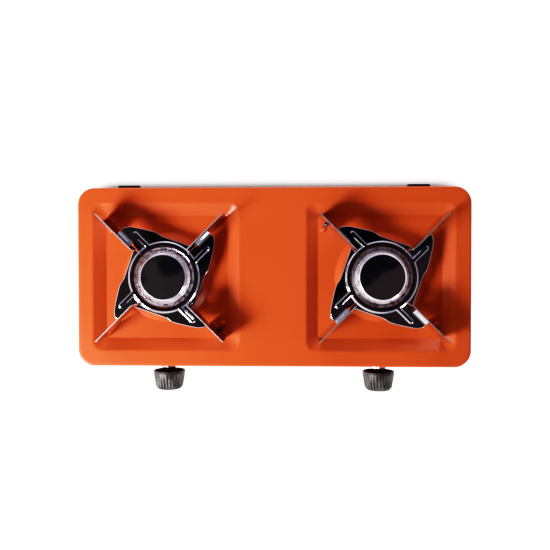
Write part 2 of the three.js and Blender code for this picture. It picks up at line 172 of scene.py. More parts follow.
def upright(rings):
    """The rings' points with their height turned into depth along Y."""
    return np.concatenate(rings)[:, [0, 2, 1]]


def rounded_profile(points, radii, steps=6):
    """A chain of 2-D points whose inner corners are rounded by arcs of the given radii.

    Each arc is a rational curve of the second degree, which is a true arc of a circle."""
    points = [np.array(p, float) for p in points]
    chain = [points[0]]
    for before, here, after, radius in zip(points, points[1:], points[2:], radii):
        to_before = (before - here) / np.linalg.norm(before - here)
        to_after = (after - here) / np.linalg.norm(after - here)
        half_turn = math.acos(np.clip(-to_before @ to_after, -1, 1)) / 2
        reach = radius * math.tan(half_turn)
        if reach < 1e-6:
            chain.append(here)
            continue
        start, end = here + to_before * reach, here + to_after * reach
        weight = math.cos(half_turn)
        for i in range(steps + 1):
            t = i / steps
            a, b, c = (1 - t) ** 2, 2 * t * (1 - t) * weight, t * t
            chain.append((a * start + b * here + c * end) / (a + b + c))
    chain.append(points[-1])
    return chain


def lathe(name, profile, count, at, sharp=35):
    """Turns a closed (radius, height) profile round an upright axis, which it may touch."""
    rings = [circle_ring(max(r, 0), z, count) for r, z in profile]
    return make_object(name, np.concatenate(rings), skin(rings), at, sharp)


def filled(rings, z):
    """Triangles that fill the flat region inside the first ring and outside the others."""
    loops = [[Vector((x, y, 0)) for x, y, _ in ring] for ring in rings]
    triangles = tessellate_polygon(loops)
    points = np.array([(p.x, p.y, z) for loop in loops for p in loop])
    return points, [tuple(t) for t in triangles]


class Sheet:
    """Collects patches of one pressed sheet; patches meet where their points coincide."""

    def __init__(self):
        self.points = []
        self.faces = []
        self.count = 0

    def add(self, points, faces):
        self.points.append(np.asarray(points, float))
        self.faces += [tuple(i + self.count for i in f) for f in faces]
        self.count += len(points)

    def strip(self, rings, closed=True):
        self.add(np.concatenate(rings), skin(rings, closed))

    def build(self, name, at):
        return make_object(name, np.concatenate(self.points), self.faces, at)


# ---- Materials: lengths in metres, noise scales per metre ----


def new_material(name, color, roughness, metallic=0.0, coat=0.0, coat_roughness=0.1):
    material = bpy.data.materials.new(name)
    material.use_nodes = True
    shader = material.node_tree.nodes["Principled BSDF"]
    shader.inputs["Base Color"].default_value = (*color, 1)
    shader.inputs["Roughness"].default_value = roughness
    shader.inputs["Metallic"].default_value = metallic
    shader.inputs["Coat Weight"].default_value = coat
    shader.inputs["Coat Roughness"].default_value = coat_roughness
    return material, material.node_tree, shader


def noise(tree, scale, detail=4.0, roughness=0.55, stretch=None):
    """A noise texture over the object's own metres; stretch squeezes it along the axes."""
    coords = tree.nodes.new("ShaderNodeTexCoord")
    texture = tree.nodes.new("ShaderNodeTexNoise")
    texture.inputs["Scale"].default_value = scale
    texture.inputs["Detail"].default_value = detail
    texture.inputs["Roughness"].default_value = roughness
    source = coords.outputs["Object"]
    if stretch:
        mapping = tree.nodes.new("ShaderNodeMapping")
        mapping.inputs["Scale"].default_value = stretch
        tree.links.new(source, mapping.inputs["Vector"])
        source = mapping.outputs["Vector"]
    tree.links.new(source, texture.inputs["Vector"])
    return texture.outputs["Fac"]


def ramp(tree, source, stops, color=False):
    """Maps 0 to 1 through stops of (place, value), or of (place, colour)."""
    node = tree.nodes.new("ShaderNodeValToRGB")
    while len(node.color_ramp.elements) < len(stops):
        node.color_ramp.elements.new(0.5)
    for element, (place, value) in zip(node.color_ramp.elements, stops):
        element.position = place
        element.color = (*value, 1) if color else (value, value, value, 1)
    tree.links.new(source, node.inputs["Fac"])
    return node.outputs["Color"]


def bump(tree, shader, source, distance, strength, chain=None):
    """Bumps the shader's surface, on top of the bump given as chain."""
    node = tree.nodes.new("ShaderNodeBump")
    node.inputs["Distance"].default_value = distance
    node.inputs["Strength"].default_value = strength
    tree.links.new(source, node.inputs["Height"])
    if chain:
        tree.links.new(chain, node.inputs["Normal"])
    tree.links.new(node.outputs["Normal"], shader.inputs["Normal"])
    return node.outputs["Normal"]


def orange_paint():
    """Powder coat under a thin gloss, with a fine peel and a finer grain."""
    material, tree, shader = new_material(
        "orange_powder_coat", (0.62, 0.103, 0.031), 0.4, coat=0.25, coat_roughness=0.24
    )
    shader.inputs["Specular IOR Level"].default_value = 0.12
    tint = ramp(
        tree, noise(tree, 9, 3),
        [(0.3, (0.60, 0.099, 0.029)), (0.7, (0.64, 0.108, 0.033))], True,
    )
    tree.links.new(tint, shader.inputs["Base Color"])
    rough = ramp(tree, noise(tree, 60, 5), [(0.3, 0.36), (0.7, 0.48)])
    tree.links.new(rough, shader.inputs["Roughness"])
    peel = bump(tree, shader, noise(tree, 900, 2), 0.00012, 0.25)
    bump(tree, shader, noise(tree, 5000, 2), 0.00003, 0.35, peel)
    return material


def polished_steel(name, color, roughness):
    """Steel with faint waves, from a mirror to a satin finish by its roughness."""
    material, tree, shader = new_material(name, color, roughness, 1.0)
    rough = ramp(
        tree, noise(tree, 140, 6, 0.6), [(0.35, roughness * 0.7), (0.75, roughness * 2.2)]
    )
    tree.links.new(rough, shader.inputs["Roughness"])
    tint = ramp(
        tree, noise(tree, 25, 3),
        [(0.3, tuple(c * 0.93 for c in color)), (0.7, color)], True,
    )
    tree.links.new(tint, shader.inputs["Base Color"])
    bump(tree, shader, noise(tree, 38, 1), 0.0012, 0.05)
    return material


def sheared_steel():
    """The cut edges of a polished pressing: bright, fine grained and not mirror-like."""
    material, tree, shader = new_material("sheared_steel", (0.42, 0.41, 0.43), 0.5, 0.85)
    rough = ramp(tree, noise(tree, 900, 4), [(0.3, 0.42), (0.7, 0.6)])
    tree.links.new(rough, shader.inputs["Roughness"])
    bump(tree, shader, noise(tree, 3000, 2), 0.00004, 0.3)
    return material


def plated_steel():
    """Dull grey zinc, in small patches of two greys."""
    material, tree, shader = new_material("zinc_plate", (0.55, 0.55, 0.56), 0.35, 1.0)
    tint = ramp(
        tree, noise(tree, 180, 6, 0.65),
        [(0.3, (0.42, 0.42, 0.43)), (0.7, (0.62, 0.62, 0.63))], True,
    )
    tree.links.new(tint, shader.inputs["Base Color"])
    rough = ramp(tree, noise(tree, 400, 4), [(0.3, 0.25), (0.7, 0.45)])
    tree.links.new(rough, shader.inputs["Roughness"])
    bump(tree, shader, noise(tree, 1500, 3), 0.00005, 0.3)
    return material


def brass_metal():
    """Brass with fine turning marks."""
    material, tree, shader = new_material("turned_brass", (0.68, 0.46, 0.2), 0.3, 1.0)
    tint = ramp(
        tree, noise(tree, 220, 5),
        [(0.3, (0.5, 0.31, 0.12)), (0.7, (0.76, 0.54, 0.25))], True,
    )
    tree.links.new(tint, shader.inputs["Base Color"])
    rough = ramp(tree, noise(tree, 500, 4), [(0.3, 0.2), (0.7, 0.42)])
    tree.links.new(rough, shader.inputs["Roughness"])
    bump(tree, shader, noise(tree, 1800, 2, 0.5, (1, 6, 1)), 0.00004, 0.3)
    return material


def black_rubber():
    material, tree, shader = new_material("black_rubber", (0.015, 0.015, 0.016), 0.75)
    tint = ramp(
        tree, noise(tree, 300, 4),
        [(0.3, (0.012, 0.012, 0.013)), (0.7, (0.026, 0.025, 0.026))], True,
    )
    tree.links.new(tint, shader.inputs["Base Color"])
    bump(tree, shader, noise(tree, 2500, 3), 0.0001, 0.4)
    return material


def knob_plastic():
    material, tree, shader = new_material("knob_plastic", (0.06, 0.048, 0.046), 0.4)
    shader.inputs["Specular IOR Level"].default_value = 0.5
    tint = ramp(
        tree, noise(tree, 160, 4),
        [(0.3, (0.032, 0.026, 0.024)), (0.7, (0.048, 0.039, 0.036))], True,
    )
    tree.links.new(tint, shader.inputs["Base Color"])
    rough = ramp(tree, noise(tree, 700, 3), [(0.3, 0.36), (0.7, 0.5)])
    tree.links.new(rough, shader.inputs["Roughness"])
    bump(tree, shader, noise(tree, 2600, 2), 0.00006, 0.35)
    return material


ORANGE = orange_paint()
STEEL = polished_steel("polished_steel", (0.5, 0.49, 0.52), 0.05)
EDGE = sheared_steel()
TURNED = polished_steel("turned_steel", (0.6, 0.58, 0.62), 0.16)  # the caps' bevels
MILLED = polished_steel("milled_steel", (0.79, 0.75, 0.78), 0.26)  # the port rings
SATIN = polished_steel("satin_steel", (0.7, 0.67, 0.71), 0.24)  # the burner bowls
CHROME = polished_steel("cap_chrome", (0.58, 0.57, 0.6), 0.05)
CHROME.node_tree.nodes["Principled BSDF"].inputs["Metallic"].default_value = 0.99
PLATED = plated_steel()
BRASS = brass_metal()
RUBBER = black_rubber()
PLASTIC = knob_plastic()
SLOT_MATERIALS = {
    "orange_enamel": ORANGE,
    "polished_steel": STEEL,
    "chrome_cap": CHROME,
    "zinc_steel": PLATED,
    "brass": BRASS,
    "black_rubber": RUBBER,
    "knob_plastic": PLASTIC,
}
NODE_SLOTS = {s["node"]: s["material_slot"] for s in frame["record"]["subparts"]}
NODE_BODIES = {
    node: body
    for body, members in frame["record"]["behaviour"]["bodies"].items()
    for node in members
}


def stand_for(obj, node):
    """Puts obj in the place of one CAD node: its body, its slot and its material."""
    slot = NODE_SLOTS[node]
    if not obj.data.materials:
        obj.data.materials.append(SLOT_MATERIALS[slot])
    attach(obj, NODE_BODIES[node])
    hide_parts(node)
    return obj


# ---- Top panel: one pressed and painted sheet ----

PANEL_T = 0.9
CORNER = 20  # the body's corner radius
LIP = 12  # how far the skirt's bottom flange reaches in
WELL = {"half": 88.2, "corner": 11, "floor_half": 74.2, "floor_corner": 4}
BOSS = {"foot": 53.7, "top": 46, "hole": 12, "lip": 2}  # radii, and the hole's turned-down edge
DOME = {"along": 88.5, "aside": 7.5, "radius": 4, "height": 2.5}  # beside each foot tab


def from_arm(angle, along, aside):
    """A point along a fin from the burner's axis, and to the fin's clockwise side."""
    c, s = math.cos(angle), math.sin(angle)
    return np.array([c * along + s * aside, s * along - c * aside])


def body_rings():
    """The skirt from the inner edge of its bottom flange up and over the deck's edge."""
    chain = rounded_profile(
        [(LIP, SKIRT_Z + 1), (LIP, SKIRT_Z), (0, SKIRT_Z), (0, DECK_Z), (5, DECK_Z)],
        [0, 1.6, 3.2],
        8,
    )
    return [
        rounded_ring(HALF_X - inset, HALF_Y - inset, CORNER - inset, z) for inset, z in chain
    ]


def well_rings():
    """One well's side, from the deck down to its floor, round the well's centre."""
    chain = rounded_profile(
        [
            (WELL["half"] + 3.5, DECK_Z),
            (WELL["half"], DECK_Z),
            (WELL["floor_half"], FLOOR_Z),
            (WELL["floor_half"] - 1.2, FLOOR_Z),
        ],
        [6.0, 2.2],
        7,
    )
    rings = []
    slope = (WELL["corner"] - WELL["floor_corner"]) / (WELL["half"] - WELL["floor_half"])
    for half, z in chain:
        corner = WELL["floor_corner"] + (half - WELL["floor_half"]) * slope
        rings.append(rounded_ring(half, half, corner, z, 10))
    return rings


def boss_rings():
    """The raised seat of a burner, from the well's floor in to the hole in its middle."""
    chain = rounded_profile(
        [
            (BOSS["foot"] + 2, FLOOR_Z),
            (BOSS["foot"], FLOOR_Z),
            (BOSS["top"], BOSS_Z),
            (BOSS["hole"], BOSS_Z),
            (BOSS["hole"], BOSS_Z - BOSS["lip"]),
        ],
        [2.2, 4.0, 1.2],
        7,
    )
    return [circle_ring(radius, z, 96) for radius, z in chain]


def dome_rings():
    """A small pressed dome, from its foot on the well's floor up to its nearly closed top."""
    rings = []
    for lean in np.linspace(0, math.pi / 2, 8):
        radius = max(DOME["radius"] * math.cos(lean), 0.02)
        rings.append(circle_ring(radius, FLOOR_Z + DOME["height"] * math.sin(lean), 28))
    return rings


def top_panel():
    sheet = Sheet()
    skirt = body_rings()
    sheet.strip(skirt)
    outlines = [skirt[-1]]
    for side in SIDES:
        centre = np.array([CENTRE[side].x, 0, 0])
        well = [ring + centre for ring in well_rings()]
        boss = [ring + centre for ring in boss_rings()]
        sheet.strip(well)
        sheet.strip(boss)
        floor_holes = [boss[0]]
        for angle in TAB_ANGLES:
            x, y = from_arm(angle, DOME["along"], -DOME["aside"])
            dome = [ring + centre + (x, y, 0) for ring in dome_rings()]
            sheet.strip(dome)
            floor_holes.append(dome[0])
        sheet.add(*filled([well[-1], *floor_holes], FLOOR_Z))
        outlines.append(well[0])
    sheet.add(*filled(outlines, DECK_Z))
    panel = sheet.build("painted_top_panel", (0, BODY_Y, 0))
    largest = max(panel.data.polygons, key=lambda p: p.area)
    if largest.normal.z < 0:
        panel.data.flip_normals()
    thicken(panel, PANEL_T, -1.0, 40)
    return stand_for(panel, "top_panel")


# ---- Pan supports: one mirror-polished pressing each ----

PLATE_Z = 66.6  # middle of the sheet
SHEET_T = 1.2
EMBOSS = 2.0  # height of the pressed ring and ribs
RING = {"foot": 42.8, "wall": 2.6}  # the raised ring: where its wall starts, and its width
RIB = {"start": 34, "end": 60.3, "aside": 12.4, "radius": 3.0, "wall": 1.6}
BLEND = 0.6  # how softly ribs and ring run into each other, in wall widths
ROLL = {"width": 0.9, "drop": 0.35}  # the plate's outline rolls down at its sheared edge
BEND = 5.2  # how far the bend between plate and fin reaches from the fin
HOLE_R = 36.0
HOLE_LIP = {"width": 3.0, "drop": 0.3}  # the hole's edge turns down into the bowl
FIN = {"inner": 45, "tip": 104, "leg": 102.8}  # from the burner's axis to its ends
TAB = {"start": 87, "end": 93, "width": 3, "curl": 0.7}  # at the foot of two fins' legs
LOBE = 75.5  # the plate's reach along a fin
# Beside each fin the plate is slit, and a round hole ends the slit where the bend begins.
RELIEF = {"start": 43, "centre": 53.5, "radius": 2, "slit": 0.85}
GAP = 1.3  # between the plate's far edge and the next fin's plane


def smooth_chain(points, rounds=4):
    """Rounds a chain's corners by cutting them, keeping its two ends."""
    points = np.array(points, float)
    for _ in range(rounds):
        near = points[:-1] * 0.75 + points[1:] * 0.25
        far = points[:-1] * 0.25 + points[1:] * 0.75
        middle = np.stack([near, far], 1).reshape(-1, 2)
        points = np.concatenate([points[:1], middle, points[-1:]])
    return points


# The plate's outline from one fin to the next: along the fin, and to its clockwise side.
LOBE_CHAIN = smooth_chain(
    [
        (LOBE, 0), (LOBE + 0.2, 6), (72.5, 12.2), (67.5, 16.4),
        (47, 29.4), (42, 31.2), (36, 32), (23.6, 38.2), (1.0, 49.2), (-1, 50),
    ]
)


def lobe_reach(turn):
    """How far the plate reaches at an angle turned clockwise from its fin."""
    angles = np.arctan2(LOBE_CHAIN[:, 1], LOBE_CHAIN[:, 0])
    return np.interp(turn, angles, np.hypot(LOBE_CHAIN[:, 0], LOBE_CHAIN[:, 1]))


def start_aside(r):
    """How far the plate's near edge stays from its own fin's plane."""
    bulge = np.sqrt(np.clip(RELIEF["radius"] ** 2 - (r - RELIEF["centre"]) ** 2, 0, None))
    slit = np.where((r > RELIEF["start"]) & (r < RELIEF["centre"]), RELIEF["slit"], 0.0)
    bend = np.where(r >= RELIEF["centre"] + RELIEF["radius"] - 0.4, BEND, 0.0)
    return np.maximum(np.maximum(bulge, slit), bend)


def end_aside(r):
    """How far the plate's far edge stays from the next fin's plane."""
    return np.where(r > RELIEF["start"], GAP, 0.0)


def emboss_height(u, v):
    """Height of the pressing at points given along a fin and to its clockwise side."""
    outside = (np.hypot(u, v) - RING["foot"]) / RING["wall"]
    for along, aside in ((u, v), (v, -u)):
        reach = np.clip(along, RIB["start"], RIB["end"])
        rib = (np.hypot(along - reach, aside - RIB["aside"]) - RIB["radius"]) / RIB["wall"]
        blend = np.clip(0.5 + 0.5 * (rib - outside) / BLEND, 0, 1)
        outside = rib * (1 - blend) + outside * blend - BLEND * blend * (1 - blend)
    t = np.clip(-outside, 0, 1)
    return EMBOSS * t * t * (3 - 2 * t)


def plate_columns():
    """Steps from the hole (0) to the outline (1), denser at the relief hole and the outline."""
    near = (RELIEF["centre"] - 3 - HOLE_R) / (LOBE - HOLE_R)
    past = (RELIEF["centre"] + 3 - HOLE_R) / (LOBE - HOLE_R)
    edge = 0.95
    spans = ((0, near, 24), (near, past, 18), (past, edge, 28))
    steps = [np.linspace(a, b, n, endpoint=False) for a, b, n in spans]
    return np.concatenate([*steps, np.linspace(edge, 1, 8)])


def plate_quarter():
    """The plate from one fin to the next, as a grid of places along and beside the fin.

    A row's place s goes from 0 at the fin to 1 at the next one. What the two edges leave
    free beside the fins fades out over the shares start_fade and end_fade of the quarter."""
    start_fade, end_fade = 0.085, 0.06
    s = np.linspace(0, 1, 221)[:, None]
    turn = s * math.pi / 2
    outline = lobe_reach(turn)
    r = HOLE_R + (outline - HOLE_R) * plate_columns()[None, :]
    turn = turn + np.arcsin(start_aside(r) / r) * np.clip(1 - s / start_fade, 0, 1)
    turn = turn - np.arcsin(end_aside(r) / r) * np.clip(1 - (1 - s) / end_fade, 0, 1)
    u, v = r * np.cos(turn), r * np.sin(turn)
    roll = np.clip(1 - (outline - r) / ROLL["width"], 0, 1)
    lip = np.clip(1 - (r - HOLE_R) / HOLE_LIP["width"], 0, 1)
    z = PLATE_Z + emboss_height(u, v) - ROLL["drop"] * roll**2 - HOLE_LIP["drop"] * lip**2
    bent = start_aside(r[0]) == BEND
    return u, v, z, u[0][bent]


def pan_support(side):
    sheet = Sheet()
    u, v, z, bend_columns = plate_quarter()
    for angle in FIN_ANGLES:
        x = math.cos(angle) * u + math.sin(angle) * v
        y = math.sin(angle) * u - math.cos(angle) * v
        sheet.strip(list(np.stack([x, y, z], 2)), closed=False)
        add_fin(sheet, angle, bend_columns)
    pressing = sheet.build(f"{side}_support_pressing", CENTRE[side])
    for material in (STEEL, EDGE):
        pressing.data.materials.append(material)
    thicken(pressing, SHEET_T, 0.0, 38, edge=0.22, rim=1)
    return stand_for(pressing, f"{side}_pan_support")


def bend_profile():
    """Out and up from the plate: a short curve, a ramp and a curve to upright.

    The first curve has the radius start and ends at the slope lean. The ramp steepens in
    seven steps to the slope steep, where the last curve begins, with the radius end."""
    start, end = 1.8, 1.2
    lean, steep = math.radians(20), math.radians(43)
    points = [(start * math.sin(a), start * (1 - math.cos(a))) for a in np.linspace(0, lean, 5)]
    out, up = points[-1]
    step = (BEND - out - end * (1 - math.sin(steep))) / 7
    for a in np.linspace(lean, steep, 7):
        out, up = out + step, up + step * math.tan(a)
        points.append((out, up))
    centre = (out - end * math.sin(steep), up + end * math.cos(steep))
    for a in np.linspace(steep, math.pi / 2, 6)[1:]:
        points.append((centre[0] + end * math.sin(a), centre[1] - end * math.cos(a)))
    return points


def add_fin(sheet, angle, bend_columns):
    """The upright fin, its bend into the plate, its leg and, on two fins, a foot tab."""

    def place(along, aside, z):
        x, y = from_arm(angle, along, aside)
        return (x, y, z)

    foot_z = SUPPORT_LOW[2] + SHEET_T / 2
    top = SUPPORT_HIGH[2]
    profile = bend_profile()
    join_z = PLATE_Z + profile[-1][1]
    bend = [
        np.array([place(u, BEND - out, PLATE_Z + up) for u in bend_columns])
        for out, up in profile
    ]
    sheet.strip(bend, closed=False)
    inner = np.linspace(FIN["inner"], bend_columns[0], 9)[:-1]
    outer = np.linspace(LOBE + 0.5, FIN["tip"], 19)
    columns = np.concatenate([inner, bend_columns, outer])
    heights = np.linspace(join_z, top, 16)
    sheet.strip([np.array([place(u, 0, z) for u in columns]) for z in heights], closed=False)
    rows = []
    for z in np.linspace(join_z, foot_z, 14):
        reach = FIN["tip"] + (FIN["leg"] - FIN["tip"]) * min(1, (join_z - z) / 3)
        columns = outer[0] + (outer - outer[0]) * (reach - outer[0]) / (FIN["tip"] - outer[0])
        rows.append(np.array([place(u, 0, z) for u in columns]))
    sheet.strip(rows, closed=False)
    if angle in TAB_ANGLES:
        tab = columns[(columns > TAB["start"]) & (columns < TAB["end"])]
        rows = []
        for aside in np.linspace(0, TAB["width"], 6):
            z = foot_z + TAB["curl"] * (aside / TAB["width"]) ** 2
            rows.append(np.array([place(u, -aside, z) for u in tab]))
        sheet.strip(rows, closed=False)


# ---- Burner heads ----

ROUND_STEPS = 160
TEETH = 108
TOOTH_DEPTH = 0.6
BEADS = ((35.05, 0.8, 66.3), (33.5, 0.5, 66.1))  # centre, radius and level of the bowl's beads


def burner_cap(side):
    """A flat mirror-polished top with a turned bevel, over a narrow neck."""
    chain = rounded_profile(
        [(0, 69.5), (26.8, 69.5), (26.8, 71.9), (28.6, 71.9), (28.6, 72.7),
         (26.3, CAP_TOP), (0, CAP_TOP)],
        [0.3, 0.2, 0.25, 0.6, 0.5],
        5,
    )
    cap = lathe(f"{side}_mirror_cap", chain, ROUND_STEPS, CENTRE[side], sharp=30)
    for material in (CHROME, TURNED):
        cap.data.materials.append(material)
    for face in cap.data.polygons:
        is_bevel = 0.1 < face.normal.z < 0.97
        face.material_index = int(is_bevel)
    return stand_for(cap, f"{side}_burner_cap")


def port_ring(side):
    """The toothed band under the cap, with a flame port between every two teeth."""
    below = [(27.3, 65.8), (31.6, 65.8), (31.7, 67.4)]
    band = [(31.6 - 3.1 * t, 67.9 + 3.3 * t) for t in np.linspace(0, 1, 14)]
    above = [(28.0, 71.3), (27.3, 71.3), (27.3, 65.8)]
    count = TEETH * 8
    wave = 0.5 + 0.5 * np.cos(np.arange(count) * TAU * TEETH / count)
    rings = []
    for i, (radius, z) in enumerate(below + band + above):
        ring = circle_ring(radius, z, count)
        place = (i - len(below)) / (len(band) - 1)
        if 0 <= place <= 1:
            depth = TOOTH_DEPTH * math.sin(math.pi * min(1, 0.12 + place * 0.88)) ** 0.5
            ring[:, :2] *= (1 - wave * depth / radius)[:, None]
        rings.append(ring)
    ring = make_object(
        f"{side}_toothed_ring", np.concatenate(rings), skin(rings), CENTRE[side], 50
    )
    ring.data.materials.append(MILLED)
    return stand_for(ring, f"{side}_port_ring")


def burner_bowl(side):
    """A throat, a wide cup, a flange under the pan support and a rim with two beads."""
    seat = BOSS_Z + 0.3
    chain = [(8, 48.4), (9.5, 48.4), (9.5, seat), (33, seat), (33, 61.5)]
    chain += [(34.0, 63.2), (37.6, 63.5), (37.6, 64.1), (35.2, 64.7)]
    for centre, radius, level in BEADS:
        for a in np.linspace(0, math.pi, 9):
            chain.append((centre + radius * math.cos(a), level + radius * math.sin(a)))
    chain += [(32.7, 65.6), (32.0, 65.5), (30.5, 65.5), (30.5, 58), (8, 58), (8, 48.4)]
    bowl = lathe(f"{side}_beaded_bowl", chain, ROUND_STEPS, CENTRE[side], sharp=40)
    bowl.data.materials.append(SATIN)
    return stand_for(bowl, f"{side}_burner_bowl")


# ---- Knobs ----

FLUTES = 26
FLUTE_DEPTH = 1.15
HUB_BACK = 3.0  # how far the hub reaches back past the rim


def knob(side):
    """A fluted grip with a smooth flared rim, hollow behind, round a hub with a bore; the
    hollow and the hub are painted dark as shade.

    The profiles are (radius, distance forward from the rim's back edge)."""
    low, high = mm_box(f"{side}_knob")
    length, rim = high[1] - low[1] - HUB_BACK, (high[0] - low[0]) / 2
    outer = rounded_profile(
        [(0, length), (13.8, length), (16.6, length - 4), (18.5, 9), (rim, 3.0), (rim - 0.2, 0),
         (17.9, 0)],
        [5.0, 3.5, 8.0, 4.0, 0.7],
        7,
    )
    inner = rounded_profile(
        [(17.9, 0), (16.0, 13.6), (5.2, 14), (4.9, -HUB_BACK), (3.3, -HUB_BACK), (3.3, 17),
         (0, 17)],
        [2.0, 1.5, 0.4, 0.2, 0.2],
        4,
    )
    count = FLUTES * 10
    ridge = (0.5 - 0.5 * np.cos(np.arange(count) * TAU * FLUTES / count)) ** 0.6
    rings = []
    for i, (radius, t) in enumerate(outer + inner):
        ring = circle_ring(max(radius, 0.0), t, count)
        if i < len(outer) and radius > 6:
            past_rim = np.clip((t - 6.5) / 5, 0, 1)
            off_middle = np.clip((radius - 9) / 4, 0, 1)
            before_face = np.clip((length + 1.5 - t) / 2, 0.3, 1)
            depth = FLUTE_DEPTH * past_rim * off_middle * before_face
            ring[:, :2] *= (1 - depth * (1 - ridge) / radius)[:, None]
        rings.append(ring)
    at = (CENTRE[side].x, high[1] - HUB_BACK, AXIS_Z)
    points = upright(rings) * (1, -1, 1)
    made = make_object(f"{side}_fluted_knob", points, skin(rings), at, 50)
    for material in (PLASTIC, RUBBER):
        made.data.materials.append(material)
    # The hollow and the hub inside it take the black rubber material as painted shade, darker
    # than the knob's own plastic.
    for face in made.data.polygons:
        away = Vector(face.center) / MM - Vector(at)
        hollow_painted_shade = math.hypot(away.x, away.z) < 15.8 and away.y > -13.9
        face.material_index = int(hollow_painted_shade)
    return stand_for(made, f"{side}_knob")


# ---- Small turned pieces ----


def hex_nut(name, node, flats, bore):
    """A nut with chamfered faces, its axis along Y."""
    low, high = mm_box(node)
    thick = high[1] - low[1]
    count = 96
    angles = np.arange(count) * TAU / count
    hexagon = flats / 2 / np.cos((angles + TAU / 12) % (TAU / 6) - TAU / 12)
    hexagon = np.minimum(hexagon, flats / math.sqrt(3) - 0.15)
    chamfer = 0.9
    outside = ((-0.5, chamfer), (-0.32, 0), (0.32, 0), (0.5, chamfer))
    profile = [(level, hexagon - cut) for level, cut in outside]
    profile = [(-0.5, np.full(count, bore)), *profile, (0.5, np.full(count, bore))]
    rings = []
    for level, radius in [*profile, profile[0]]:
        ring = circle_ring(1, level * thick, count)
        ring[:, :2] *= radius[:, None]
        rings.append(ring)
    made = make_object(name, upright(rings), skin(rings), (low + high) / 2, 30)
    return stand_for(made, node)


def foot(place):
    """A rubber foot, hollow below round its screw."""
    node = f"{place}_foot"
    low, high = mm_box(node)
    centre = ((low[0] + high[0]) / 2, (low[1] + high[1]) / 2, 0)
    radius = (high[0] - low[0]) / 2
    chain = rounded_profile(
        [(2.2, high[2]), (radius - 1.2, high[2]), (radius, 3), (radius - 1.2, 0),
         (6, 0), (5, 4), (2.2, 4), (2.2, high[2])],
        [0.8, 3.0, 1.4, 0.8, 0.4, 0.2],
        6,
    )
    return stand_for(lathe(f"{place}_rubber_foot", chain, 72, centre), node)


def pan_head_screw(node):
    """A pan-head screw with a cross recess, pointing up."""
    low, high = mm_box(node)
    centre = ((low[0] + high[0]) / 2, (low[1] + high[1]) / 2, low[2])
    count, length = 64, high[2] - low[2]
    recess = [(0.0, 1.1), (0.55, 1.1), (0.95, 0.15)]
    head = [(1.3, 0.0), (2.4, 0.12), (3.2, 0.6), (3.6, 1.3), (3.6, 1.9)]
    shank = [(1.8, 1.9), (1.8, length - 0.8), (1.2, length), (0, length)]
    angles = np.arange(count) * TAU / count
    cross = 1 + 1.1 * np.abs(np.cos(2 * angles)) ** 6
    rings = []
    for radius, z in recess + head + shank:
        ring = circle_ring(radius, z, count)
        if (radius, z) in recess:
            ring[:, :2] *= cross[:, None]
        rings.append(ring)
    made = make_object(f"{node}_cross", np.concatenate(rings), skin(rings), centre, 40)
    return stand_for(made, node)


def rear_pad(side):
    """A soft-edged block on the rear skirt, built from its outer face in."""
    node = f"{side}_rear_pad"
    low, high = mm_box(node)
    centre = ((low[0] + high[0]) / 2, high[1], (low[2] + high[2]) / 2)
    half_x, half_z = (high[0] - low[0]) / 2, (high[2] - low[2]) / 2
    depth = high[1] - PANEL_HIGH[1] - 0.1
    profile = [(half_z, 0), (1.0, 0), (0.35, 0.15), (0, 0.8), (0, depth), (half_z, depth)]
    rings = []
    for inset, back in profile:
        shrink = inset * 0.98
        corner = max(3 - inset, 0.1)
        rings.append(rounded_ring(half_x - shrink, half_z - shrink, corner, -back, 6))
    made = make_object(f"{side}_bump_pad", upright(rings), skin(rings), centre, 40)
    return stand_for(made, node)


# ---- Stage, light and camera, in metres ----

MIDDLE = (0, BODY_Y * MM, DECK_Z * MM)  # the middle of the deck
FLOOR_HALF = 12.0
FLOOR_GLOW = 1.45
PAINTED_SHADOW_REACH = 0.022  # how far the painted shadow in the floor's glow reaches from the object
PAINTED_SHADOW_FULL, PAINTED_SHADOW_NONE = 0.08, -0.02  # the Y behind which the painted shadow is full, and where it ends
WORLD_STRENGTH = 1.4
KEY_POWER = 5.7
BACK_FILL_POWER = 7.0
CARD_POWER = 4.0
FILM = {"power": 1.7, "knee": 0.359, "white": 1.5}
LENS = 40.6


def floor():
    """A plain pale floor that also glows, with a painted shadow: the glow is dimmed close to
    the object's back edge.
    """
    size = FLOOR_HALF
    points = [(-size, -size, 0), (size, -size, 0), (size, size, 0), (-size, size, 0)]
    mesh = bpy.data.meshes.new("studio_floor")
    mesh.from_pydata(points, [], [(0, 1, 2, 3)])
    obj = bpy.data.objects.new("studio_floor", mesh)
    bpy.context.scene.collection.objects.link(obj)
    material, tree, shader = new_material("studio_floor_white", (0.25, 0.25, 0.25), 0.9)
    shader.inputs["Specular IOR Level"].default_value = 0.1
    # The painted shadow's mask: occlusion close to the object, kept only behind it.
    near = tree.nodes.new("ShaderNodeAmbientOcclusion")
    near.inputs["Distance"].default_value = PAINTED_SHADOW_REACH
    near.samples = 32
    place = tree.nodes.new("ShaderNodeSeparateXYZ")
    coords = tree.nodes.new("ShaderNodeTexCoord")
    tree.links.new(coords.outputs["Object"], place.inputs["Vector"])
    front = tree.nodes.new("ShaderNodeMapRange")
    front.inputs["From Min"].default_value = PAINTED_SHADOW_FULL
    front.inputs["From Max"].default_value = PAINTED_SHADOW_NONE
    tree.links.new(place.outputs["Y"], front.inputs["Value"])
    lit = tree.nodes.new("ShaderNodeMath")
    lit.operation = "MAXIMUM"
    tree.links.new(near.outputs["AO"], lit.inputs[0])
    tree.links.new(front.outputs["Result"], lit.inputs[1])
    # Painted shadow: the glow fades where the object crowds the floor, behind the object only.
    glow = ramp(
        tree, lit.outputs["Value"], [(0.78, 0.04), (0.88, 0.4), (0.95, 0.85), (1.0, 1.0)]
    )
    tree.links.new(glow, shader.inputs["Emission Color"])
    shader.inputs["Emission Strength"].default_value = FLOOR_GLOW
    mesh.materials.append(material)


